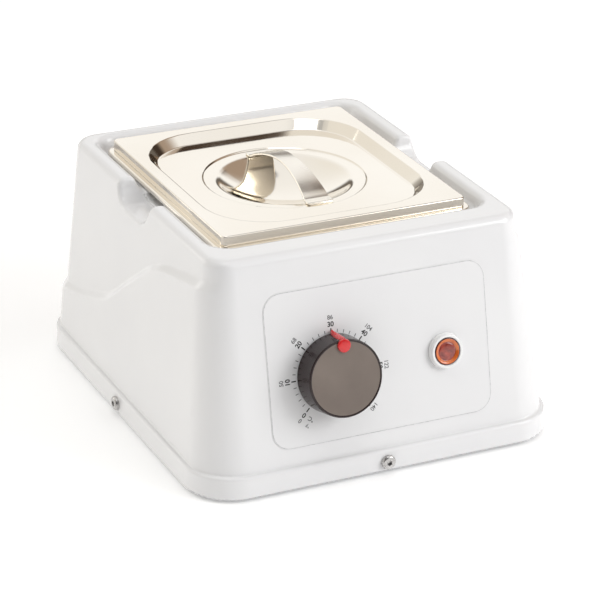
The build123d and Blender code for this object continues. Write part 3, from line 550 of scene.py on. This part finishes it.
def make_housing():
    """The moulding as a net round its signed distance, pulled onto the surface in three steps."""
    across = np.arange(-119.03, 119.5, GRID_WIDE)
    deep = np.arange(-132.9, 133.3, GRID_WIDE)
    # fine layers at the skirt and round the pan's rim, wide ones between
    upward = np.concatenate([np.arange(-0.45, 18.0, GRID_FINE), np.arange(18.6, 113.0, GRID_WIDE),
                             np.arange(113.9, 138.5, GRID_FINE)])
    points, faces = surface_net(housing_field, [across, deep, upward])
    for _ in range(3):
        slope = gradient(housing_field, points)
        size = np.maximum((slope**2).sum(1), 0.25)
        move = slope * (housing_field(*points.T) / size)[:, None]
        length = np.maximum(np.linalg.norm(move, axis=1), 1e-9)
        points -= move * np.minimum(1.0, 0.6 / length)[:, None]
    made = piece("housing_moulding", points, faces.tolist(), [MATERIALS["white_abs"]], "housing",
                 ["housing"])
    normals = gradient(housing_field, points, 0.12)
    normals /= np.maximum(np.linalg.norm(normals, axis=1), 1e-9)[:, None]
    made.data.normals_split_custom_set_from_vertices(normals.tolist())


# ---------------------------------------------------------------- pan, lid and handle


def make_pan():
    angles = outline_angles(*RIM)
    edge = 1.3
    rings = [(RIM, RIM_TOP - RIM_FOLD), (RIM, RIM_TOP - edge)]
    rings += [(inset(RIM, edge - edge * cosd(t)), RIM_TOP - edge + edge * sind(t))
              for t in (18, 36, 54, 72, 90)]
    top = inset(PAN_TOP, SHEET)
    roll = 1.6
    rings += [(inset(RIM, 4.0), RIM_TOP), (inset(top, -roll - 1.2), RIM_TOP), (inset(top, -roll), RIM_TOP)]
    turn = (15, 30, 45, 60, 75, 90)
    rings += [(inset(top, -roll + roll * sind(t)), RIM_TOP - roll + roll * cosd(t)) for t in turn]
    foot = inset(PAN_FOOT, SHEET)
    floor = PAN_FLOOR + SHEET
    bend = 7.2
    start, end = RIM_TOP - roll, floor + bend
    lean = [t - f for t, f in zip(top, foot)]
    for share in (0.2, 0.4, 0.6, 0.8, 1.0):
        z = start + (end - start) * share
        t = (z - floor) / (RIM_TOP - floor)
        rings.append((tuple(f + d * t for f, d in zip(foot, lean)), z))
    base = rings[-1][0]
    rings += [(inset(base, bend * (1 - cosd(t))), floor + bend * (1 - sind(t))) for t in turn]
    rings += [(inset(base, bend + 8), floor), (inset(base, bend + 28), floor), (12.0, floor)]
    stamped("pan_pressing", rings, angles, SHEET, [MATERIALS["polished_steel"]], "pan",
            ["pan"])


def make_lid():
    angles = outline_angles(*LID)
    edge = 0.9
    low = RIM_TOP + 0.05
    rings = [(LID, low), (LID, low + 0.8), (LID, LID_TOP - edge)]
    rings += [(inset(LID, edge * (1 - cosd(t))), LID_TOP - edge + edge * sind(t))
              for t in (20, 40, 60, 80, 90)]
    rings += [(inset(LID, 2.2), LID_TOP)]
    roll, run, depth = 1.3, 5.2, LID_TOP - LID_FLOOR
    # the recess's wall: a roll over its edge, a straight slope, and a roll onto its floor
    rings += [(inset(RECESS, -roll - 1.0), LID_TOP), (inset(RECESS, -roll), LID_TOP)]
    tilt = math.degrees(math.atan2(depth, run))
    for t in np.linspace(0, tilt, 6)[1:]:
        rings.append((inset(RECESS, -roll + roll * sind(t)), LID_TOP - roll * (1 - cosd(t))))
    drop, sweep = roll * (1 - cosd(tilt)), roll * sind(tilt)
    floor_edge = -roll + sweep + (depth - 2 * drop) / math.tan(math.radians(tilt))
    for t in np.linspace(tilt, 0, 6):
        rings.append((inset(RECESS, floor_edge + sweep - roll * sind(t)), LID_FLOOR + roll * (1 - cosd(t))))
    rings += [(inset(RECESS, floor_edge + sweep + 1.2), LID_FLOOR)]
    step = LID_FLOOR - RING_Z                   # down to the flat ring, then the bowl as part of a sphere
    rings += [(RING_OUT + 3.0, LID_FLOOR), (RING_OUT + 1.1, LID_FLOOR),
              (RING_OUT + 0.7, LID_FLOOR - step * 0.16), (RING_OUT + 0.4, LID_FLOOR - step * 0.5),
              (RING_OUT + 0.1, LID_FLOOR - step * 0.84), (RING_OUT - 0.4, RING_Z), (RING_OUT - 1.4, RING_Z),
              (RING_IN + 1.6, RING_Z), (RING_IN + 0.7, RING_Z)]
    sphere = (RING_IN**2 + BOWL_DEPTH**2) / (2 * BOWL_DEPTH)
    centre_z = RING_Z - BOWL_DEPTH + sphere
    for radius in (40.2, 38.8, 36.5, 33.0, 29.0, 25.0, 21.0, 17.0, 13.0, 9.0, 5.0, 2.0):
        rings.append((radius, centre_z - math.sqrt(sphere**2 - radius**2)))
    stamped("lid_pressing", rings, angles, SHEET, [MATERIALS["polished_steel"]], "lid",
            ["lid"])


def make_handle():
    """Strap of springy strip, waisted in plan, arched between two welded feet."""
    base = RING_Z + 0.02
    rise = HANDLE_TOP - HANDLE_T - base
    run = HANDLE_REACH - HANDLE_FOOT
    big = (run**2 + rise**2) / (2 * rise)       # radius of the arch
    blend = HANDLE_BLEND
    stations = []
    for y in np.concatenate([np.linspace(-HANDLE_REACH, -run, 5), np.linspace(-run, run, 49)[1:-1],
                             np.linspace(run, HANDLE_REACH, 5)]):
        away = abs(y)
        height = math.sqrt(max(big**2 - min(away, run)**2, 0)) - (big - rise)
        soft = max(0.0, 1 - max(away - (run - blend), 0) / (2 * blend))
        lift = height if away < run - blend else height * soft**1.5
        stations.append((y, base + max(lift, 0.0)))
    section = []                                # the strip's four corners, each cut by a small bevel
    for sx, sz in ((1, -1), (1, 1), (-1, 1), (-1, -1)):
        corner = [(-sx * HANDLE_BEVEL, 0), (0, -sz * HANDLE_BEVEL)]
        if sx * sz > 0:
            corner.reverse()
        section += [(sx, sz, dx, dz) for dx, dz in corner]
    points = []
    for index, (y, z) in enumerate(stations):
        before, after = stations[max(index - 1, 0)], stations[min(index + 1, len(stations) - 1)]
        run_y, run_z = after[0] - before[0], after[1] - before[1]
        size = math.hypot(run_y, run_z)
        up = (-run_z / size, run_y / size)
        half = HANDLE_HALF_MID + HANDLE_HALF_MORE * (abs(y) / HANDLE_REACH) ** 1.6
        if abs(y) > HANDLE_REACH - HANDLE_TIP:
            past = (abs(y) - HANDLE_REACH + HANDLE_TIP) / HANDLE_TIP
            half -= HANDLE_TIP_IN * past**2
        for sx, sz, dx, dz in section:
            x = sx * half + dx
            h = (HANDLE_T / 2) * (1 + sz) + dz
            h = min(max(h, 0.0), HANDLE_T)
            points.append((HANDLE_X + x, PAN_Y + y + up[0] * h, z + up[1] * h))
    n = len(section)
    faces = [(q[1], q[0], q[3], q[2]) for q in bridge(len(stations), n)]
    faces.append(tuple(range(n)))
    last = (len(stations) - 1) * n
    faces.append(tuple(last + s for s in reversed(range(n))))
    satin = surface("strap_steel", STEEL_DARK, STEEL_LIGHT, (0.2, 0.28), 1.0, patch=25, grain=120,
                    depth=0.00002)
    keep_flats(piece("handle_strap", points, faces, [satin], "lid", ["lid_handle"]))


# ---------------------------------------------------------------- knob, pointer, lamp and dial print


def fix_winding(made):
    work = bmesh.new()
    work.from_mesh(made.data)
    bmesh.ops.recalc_face_normals(work, faces=work.faces)
    work.to_mesh(made.data)
    work.free()
    made.data.update()


def make_knob():
    """Hollow knob: bore, hub and skirt from below, then its side, its rim and the sunk face."""
    base_r, face_r, low, high = KNOB_R_BASE, KNOB_R_FACE, KNOB_LOW, KNOB_TOP
    profile = [(0.0, 12.2), (3.05, 12.2), (3.05, 3.6), (3.3, 3.4), (5.7, 3.4), (6.0, 3.7), (6.0, 13.4),
               (20.4, 13.4), (20.6, 13.2), (20.6, 1.0), (20.8, low), (22.8, low), (base_r - 0.05, low + 0.08),
               (base_r, low + 0.3)]
    profile += [(face_r + 0.1, high - 1.1), (face_r, high - 0.75)]
    profile += arc((face_r - 0.55, high - 0.6), 0.6, 12, 90, 6)
    rim = face_r - 1.1
    profile += [(rim, high), (rim - 0.25, high - 0.1), (rim - 0.5, high - 0.12), (16.0, high - 0.10),
                (10.0, high - 0.08), (4.0, high - 0.06), (0.0, high - 0.06)]
    local, faces = lathe(profile, 144)
    middles = [np.mean([local[i] for i in face], axis=0) for face in faces]
    on_face = [1 if m[2] > high - 0.115 and math.hypot(m[0], m[1]) < rim - 0.3 else 0 for m in middles]
    made = piece("knob_cap", on_plane(DIAL, local), faces, [MATERIALS["knob_black"], knob_face_material()],
                 "knob", ["knob"], face_slots=on_face)
    fix_winding(made)
    keep_flats(made)


def make_pointer():
    """Red cap set into the knob's face, with a ridged arm that runs down the side to the scale."""
    high = KNOB_TOP
    profile = [(0.0, high - 1.5), (POINTER_R, high - 1.5), (POINTER_R, high + 0.65)]
    profile += arc((POINTER_R - 0.55, high + 0.7), 0.55, 0, 90, 5)
    profile += [(2.4, high + 1.27), (0.0, high + 1.32)]
    local, faces = lathe(profile, 64)
    local[:, 1] += POINTER_V
    cap = piece("pointer_cap", on_plane(DIAL, local), faces, [MATERIALS["pointer_red"]], "knob",
                ["knob_pointer"])
    fix_winding(cap)
    keep_flats(cap)
    # stations of the arm: place up the dial, height of its back and of its ridge, half width
    stations = [(18.6, 15.6, 17.0, 3.2), (21.4, 15.0, 16.9, 2.9), (22.8, 12.6, 15.2, 2.6),
                (23.5, 8.0, 10.4, 2.2), (24.1, 3.6, 5.6, 1.7), (24.7, 1.0, 2.6, 1.0), (25.2, 0.8, 1.5, 0.35)]
    points = []
    for v, low, ridge, half in stations:
        out = 0.0 if v < 22 else 0.35
        back = v - 0.9 if v > 21 else v
        flank, mid = v + out * 0.5, (low + ridge) / 2 + 0.2
        points += [(-half, back, low), (-half * 0.72, flank, mid), (0.0, v + out, ridge),
                   (half * 0.72, flank, mid), (half, back, low)]
    n = 5
    faces = bridge(len(stations), n)
    faces.append(tuple(range(n)))
    faces.append(tuple((len(stations) - 1) * n + s for s in reversed(range(n))))
    arm = piece("pointer_arm", on_plane(DIAL, points), faces, [MATERIALS["pointer_red"]], "knob")
    fix_winding(arm)
    soften = arm.modifiers.new("round", "BEVEL")
    soften.width = 0.25 * MM
    soften.segments = 3
    soften.limit_method = "ANGLE"
    keep_flats(arm)


def make_lamp():
    """Bezel ring that stands on the label film, and the domed lens that sits in it."""
    film = LABEL_T
    bezel = [(0.0, -9.0), (7.9, -9.0), (7.9, film), (10.4, film), (10.6, film + 0.2), (10.6, 1.2)]
    bezel += [(10.5, 1.5), (10.2, 1.8), (9.9, 3.2)]
    bezel += arc((9.3, 3.4), 0.6, 10, 90, 5)
    bezel += [(8.6, 4.0), (8.25, 3.85), (8.1, 3.5), (8.05, 1.9), (6.9, 1.7), (6.9, -7.5), (0.0, -7.5)]
    local, faces = lathe(bezel, 96)
    made = piece("lamp_ring", on_plane(LAMP, local), faces, [MATERIALS["bezel_white"]], "housing",
                 ["lamp_bezel"])
    fix_winding(made)
    keep_flats(made)
    lens = [(0.0, -3.0), (6.7, -3.0), (6.7, 1.75), (7.85, 1.95), (7.85, 3.5)]
    lens += arc((7.35, 3.6), 0.5, 5, 90, 4)
    lens += [(6.9, 4.1), (6.2, 3.75), (5.6, 3.2), (5.2, 3.05), (4.9, 3.2), (4.4, 3.3), (2.5, 3.35),
             (0.0, 3.4)]
    local, faces = lathe(lens, 96)
    # The lighter orange ring on the inner slope of the lens's rim is a painted highlight; the outer edge is a
    # darker red.
    highlight_paint = surface("lens_painted_highlight", (0.55, 0.10, 0.02), (0.78, 0.2, 0.035), (0.08, 0.16), patch=130, grain=1600,
                    depth=0.00002, coat=0.6)
    edge = surface("lens_edge", (0.06, 0.01, 0.008), (0.13, 0.018, 0.013), (0.12, 0.2), patch=200, grain=1600,
                   depth=0.00002, coat=0.4)
    # Faces take the lens red, the painted highlight ring or the darker edge, by their distance from the axis.
    zones = []
    for face in faces:
        radius = np.mean([math.hypot(*local[i][:2]) for i in face])
        zones.append(2 if radius > 7.25 else 1 if radius > 5.75 else 0)
    made = piece("lamp_window", on_plane(LAMP, local), faces, [MATERIALS["lens_red"], highlight_paint, edge], "housing",
                 ["lamp_lens"], face_slots=zones)
    fix_winding(made)
    keep_flats(made)


def text_mesh(text, height, weight):
    """Flat letters of a given height that stand on the first axis; weight thickens their strokes."""
    curve = bpy.data.curves.new("letters", "FONT")
    curve.body = text
    curve.size = height * FONT_SIZE
    curve.align_x = "CENTER"
    curve.offset = weight
    curve.extrude = 0.02
    holder = bpy.data.objects.new("letters", curve)
    bpy.context.scene.collection.objects.link(holder)
    bpy.context.view_layer.update()
    ready = holder.evaluated_get(bpy.context.evaluated_depsgraph_get())
    mesh = bpy.data.meshes.new_from_object(ready)
    points = np.array([v.co for v in mesh.vertices])
    faces = [tuple(p.vertices) for p in mesh.polygons]
    bpy.data.objects.remove(holder)
    bpy.data.meshes.remove(mesh)
    bpy.data.curves.remove(curve)
    points[:, 1] -= points[:, 1].min()
    points[:, 1] *= height / points[:, 1].max()
    return points, faces


def turned(points, angle):
    c, s = math.cos(angle), math.sin(angle)
    points = np.array(points, float)
    x, y = points[:, 0].copy(), points[:, 1].copy()
    points[:, 0], points[:, 1] = x * c - y * s, x * s + y * c
    return points


def gather(parts):
    points, faces, base = [], [], 0
    for local, shape in parts:
        points.append(local)
        faces += [tuple(i + base for i in f) for f in shape]
        base += len(local)
    return np.vstack(points), faces


def dial_angle(value):
    """Direction on the dial for a temperature in degrees C."""
    return math.radians(225.0 - 4.5 * value)


def bar(width, r_in, r_out, angle):
    """Thin printed stroke that points away from the knob's axis."""
    flat = [(-width / 2, r_in), (width / 2, r_in), (width / 2, r_out), (-width / 2, r_out)]
    points = [(x, y, z) for z in (PRINT_LOW, PRINT_HIGH) for x, y in flat]
    faces = [(3, 2, 1, 0), (4, 5, 6, 7)] + [(s, (s + 1) % 4, 4 + (s + 1) % 4, 4 + s) for s in range(4)]
    return turned(points, angle - math.pi / 2), faces


def outer_figure(value):
    """Figure of the outer ring, in degrees F except for the plain 0 at its start."""
    return str(round(value * 1.8 + 32) if value else 0)


def label_on_dial(text, height, radius, angle, weight=0.03):
    points, faces = text_mesh(text, height, weight)
    points[:, 1] += radius
    points[:, 2] = np.where(points[:, 2] > 0, PRINT_HIGH, PRINT_LOW)
    return turned(points, angle - math.pi / 2), faces


def make_print():
    black, grey = ink("ink_black", (0.012, 0.012, 0.012)), ink("ink_grey", (0.13, 0.13, 0.135))
    tens = range(0, 61, 10)
    majors = [bar(STROKE_WIDE, *STROKE_LONG, dial_angle(v)) for v in tens]
    majors += [label_on_dial(str(v), INNER_H, INNER_R, dial_angle(v), 0.11) for v in tens]
    minors = [bar(STROKE_THIN, *STROKE_SHORT, dial_angle(v)) for v in range(0, 61, 2) if v % 10]
    minors += [label_on_dial(outer_figure(v), OUTER_H, OUTER_R, dial_angle(v), 0.05) for v in tens]
    unit_angle = dial_angle(0) + math.radians(10)
    majors.append(label_on_dial("°C", OUTER_H, INNER_R, unit_angle))
    minors.append(label_on_dial("°F", UNIT_H, OUTER_R, unit_angle))
    for name, parts, material in (("dial_scale_c", majors, black), ("dial_scale_f", minors, grey)):
        local, faces = gather(parts)
        local[:, 1] -= PRINT_DROP
        piece(name, on_plane(DIAL, local), faces, [material], "housing", smooth=False)


def label_outline(inwards, steps=8):
    """Rounded outline of the label, some way in from its edge."""
    half_w, half_h, radius = LABEL_HALF_W - inwards, LABEL_HALF_H - inwards, LABEL_R - inwards
    points = []
    for sx, sy, turn in ((1, 1, 0), (-1, 1, 90), (-1, -1, 180), (1, -1, 270)):
        points += [(sx * (half_w - radius) + radius * cosd(turn + t),
                    sy * (half_h - radius) + radius * sind(turn + t)) for t in np.linspace(0, 90, steps + 1)]
    return points


def make_label_line():
    """Thin grey line along the label's edge, painted shade where the film's edge casts a thin shadow."""
    outer, inner = label_outline(0.0), label_outline(LABEL_LINE)
    count = len(outer)
    points = [(x, y, z) for z in (PRINT_LOW, PRINT_HIGH) for ring in (outer, inner) for x, y in ring]
    low_out, low_in, top_out, top_in = (k * count for k in range(4))
    faces = []
    for s in range(count):
        t = (s + 1) % count
        for a, b in ((top_out, top_in), (low_in, low_out), (low_out, top_out), (top_in, low_in)):
            faces.append((a + s, a + t, b + t, b + s))
    # The grey of this line is painted shade along the film's edge.
    grey = ink("painted_edge_shade", (0.56, 0.56, 0.57))
    made = piece("label_line", on_plane(LABEL, points), faces, [grey], "housing", smooth=False)
    fix_winding(made)


# ---------------------------------------------------------------- carried-over CAD nodes


def finish_cad_nodes():
    for row in frame["record"]["subparts"]:
        node = frame["nodes"][row["node"]]
        material = MATERIALS[row["material_slot"]]
        if len(node.material_slots) == 0:
            node.data.materials.append(material)
        for holder in node.material_slots:
            holder.material = material


# ---------------------------------------------------------------- stage, light and camera


def make_floor():
    mesh = bpy.data.meshes.new("floor")
    half = 12.0
    corners = [(-half, -half, 0), (half, -half, 0), (half, half, 0), (-half, half, 0)]
    mesh.from_pydata(corners, [], [(0, 1, 2, 3)])
    floor = bpy.data.objects.new("floor", mesh)
    bpy.context.scene.collection.objects.link(floor)
    paint = surface("floor_paint", (0.90, 0.90, 0.90), (0.92, 0.92, 0.92), (0.6, 0.7), patch=2, grain=60,
                    emission=(1.0, 1.0, 1.0))
    mesh.materials.append(paint)


def area_light(name, place, aim, width, height, power, colour=(1, 1, 1)):
    light = bpy.data.lights.new(name, "AREA")
    light.shape = "RECTANGLE"
    light.size, light.size_y = width, height
    light.energy = power
    light.color = colour
    lamp = bpy.data.objects.new(name, light)
    lamp.location = place
    lamp.rotation_euler = (Vector(aim) - Vector(place)).to_track_quat("-Z", "Y").to_euler()
    bpy.context.scene.collection.objects.link(lamp)


def tent_patch(tree, direction, colour, centre, inner, outer, tint):
    """Paint one soft-edged patch of the surroundings, as a card hung there would; angles in degrees."""
    towards = tree.nodes.new("ShaderNodeVectorMath")
    towards.operation = "DOT_PRODUCT"
    towards.inputs[1].default_value = Vector(centre).normalized()
    tree.links.new(direction, towards.inputs[0])
    share = tree.nodes.new("ShaderNodeMapRange")
    share.interpolation_type = "SMOOTHSTEP"
    share.inputs["From Min"].default_value = cosd(outer)
    share.inputs["From Max"].default_value = cosd(inner)
    tree.links.new(towards.outputs["Value"], share.inputs["Value"])
    mix = tree.nodes.new("ShaderNodeMixRGB")
    mix.inputs["Color2"].default_value = (*tint, 1.0)
    tree.links.new(share.outputs["Result"], mix.inputs["Fac"])
    tree.links.new(colour, mix.inputs["Color1"])
    return mix.outputs["Color"]


# the tent's tone from straight down (0) to straight up (1), with a dark strip just above the horizon
TENT_STOPS = [(0.0, (0.95, 0.95, 0.95)), (0.5, (0.9, 0.9, 0.9)), (0.515, (0.14, 0.12, 0.1)),
              (0.6, (0.16, 0.14, 0.12)), (0.64, (1.0, 1.0, 0.99)), (0.72, (1.0, 1.0, 1.0)),
              (1.0, (0.9, 0.9, 0.9))]
# cards that the steel mirrors: direction, angle where full, angle where gone, colour
TENT_PATCHES = [
    ((-0.72, -0.68, 0.05), 36, 80, (0.0, 0.0, 0.01)),       # black, low at the front left
    ((-1.0, 0.5, 0.35), 25, 70, (0.84, 0.81, 0.75)),        # cream, left
    ((0.72, 0.2, 0.65), 12, 31, (0.38, 0.29, 0.22)),        # brown, high on the right
    ((0.92, 0.33, 0.3), 11, 19, (0.05, 0.035, 0.025)),      # dark, right
    ((0.39, 0.3, 0.87), 4, 10, (0.06, 0.04, 0.03)),         # small and dark, nearly overhead
]
TENT_STRENGTH = 1.1


def make_world():
    """A pale light tent, with the strip and the cards above."""
    world = bpy.data.worlds.new("studio")
    world.use_nodes = True
    bpy.context.scene.world = world
    tree = world.node_tree
    back = tree.nodes["Background"]
    place = tree.nodes.new("ShaderNodeTexCoord")
    split = tree.nodes.new("ShaderNodeSeparateXYZ")
    ramp = tree.nodes.new("ShaderNodeValToRGB")
    elements = ramp.color_ramp.elements
    for position, _ in TENT_STOPS[1:-1]:
        elements.new(position)
    for index, (_, colour) in enumerate(TENT_STOPS):
        elements[index].color = (*colour, 1.0)
    lift = tree.nodes.new("ShaderNodeMapRange")
    lift.inputs["From Min"].default_value = -1.0
    direction = place.outputs["Generated"]
    tree.links.new(direction, split.inputs["Vector"])
    tree.links.new(split.outputs["Z"], lift.inputs["Value"])
    tree.links.new(lift.outputs["Result"], ramp.inputs["Fac"])
    colour = ramp.outputs["Color"]
    for patch in TENT_PATCHES:
        colour = tent_patch(tree, direction, colour, *patch)
    tree.links.new(colour, back.inputs["Color"])
    back.inputs["Strength"].default_value = TENT_STRENGTH


LIGHT_AIM = (0, 0, 0.07)


def make_lights():
    area_light("key", (1.5, -1.4, 1.0), LIGHT_AIM, 1.2, 1.2, 20)
    area_light("side", (-1.5, 1.5, 0.7), LIGHT_AIM, 1.0, 1.0, 4, (1.0, 0.985, 0.96))
    area_light("top", (-0.2, -0.5, 2.0), LIGHT_AIM, 1.0, 1.0, 4)


CAMERA_TARGET = (11.5, 16.0, 47.1)
CAMERA_DISTANCE, CAMERA_AZIMUTH, CAMERA_ELEVATION, CAMERA_ROLL = 1630.6, -25.51, 24.19, 0.96
CAMERA_LENS, CAMERA_SENSOR = 160.5, 36.0


def make_camera():
    azimuth, elevation, roll = (math.radians(a) for a in (CAMERA_AZIMUTH, CAMERA_ELEVATION, CAMERA_ROLL))
    level = math.cos(elevation)
    back = Vector((math.sin(azimuth) * level, -math.cos(azimuth) * level, math.sin(elevation)))
    target = Vector(to_frame([CAMERA_TARGET])[0])
    right = (-back).cross(Vector((0, 0, 1))).normalized()
    up = right.cross(-back)
    turned_right = right * math.cos(roll) + up * math.sin(roll)
    turned_up = up * math.cos(roll) - right * math.sin(roll)
    data = bpy.data.cameras.new("camera")
    data.lens, data.sensor_width = CAMERA_LENS, CAMERA_SENSOR
    data.clip_start, data.clip_end = 0.05, 60.0
    camera = bpy.data.objects.new("camera", data)
    rotation = Matrix((turned_right, turned_up, back)).transposed().to_4x4()
    camera.matrix_world = Matrix.Translation(target + back * CAMERA_DISTANCE * MM) @ rotation
    bpy.context.scene.collection.objects.link(camera)
    bpy.context.scene.camera = camera


make_camera()
make_world()
make_lights()
make_floor()
bpy.context.scene.view_settings.view_transform = "Standard"
finish_cad_nodes()
make_housing()
make_pan()
make_lid()
make_handle()
make_knob()
make_pointer()
make_lamp()
make_print()
make_label_line()
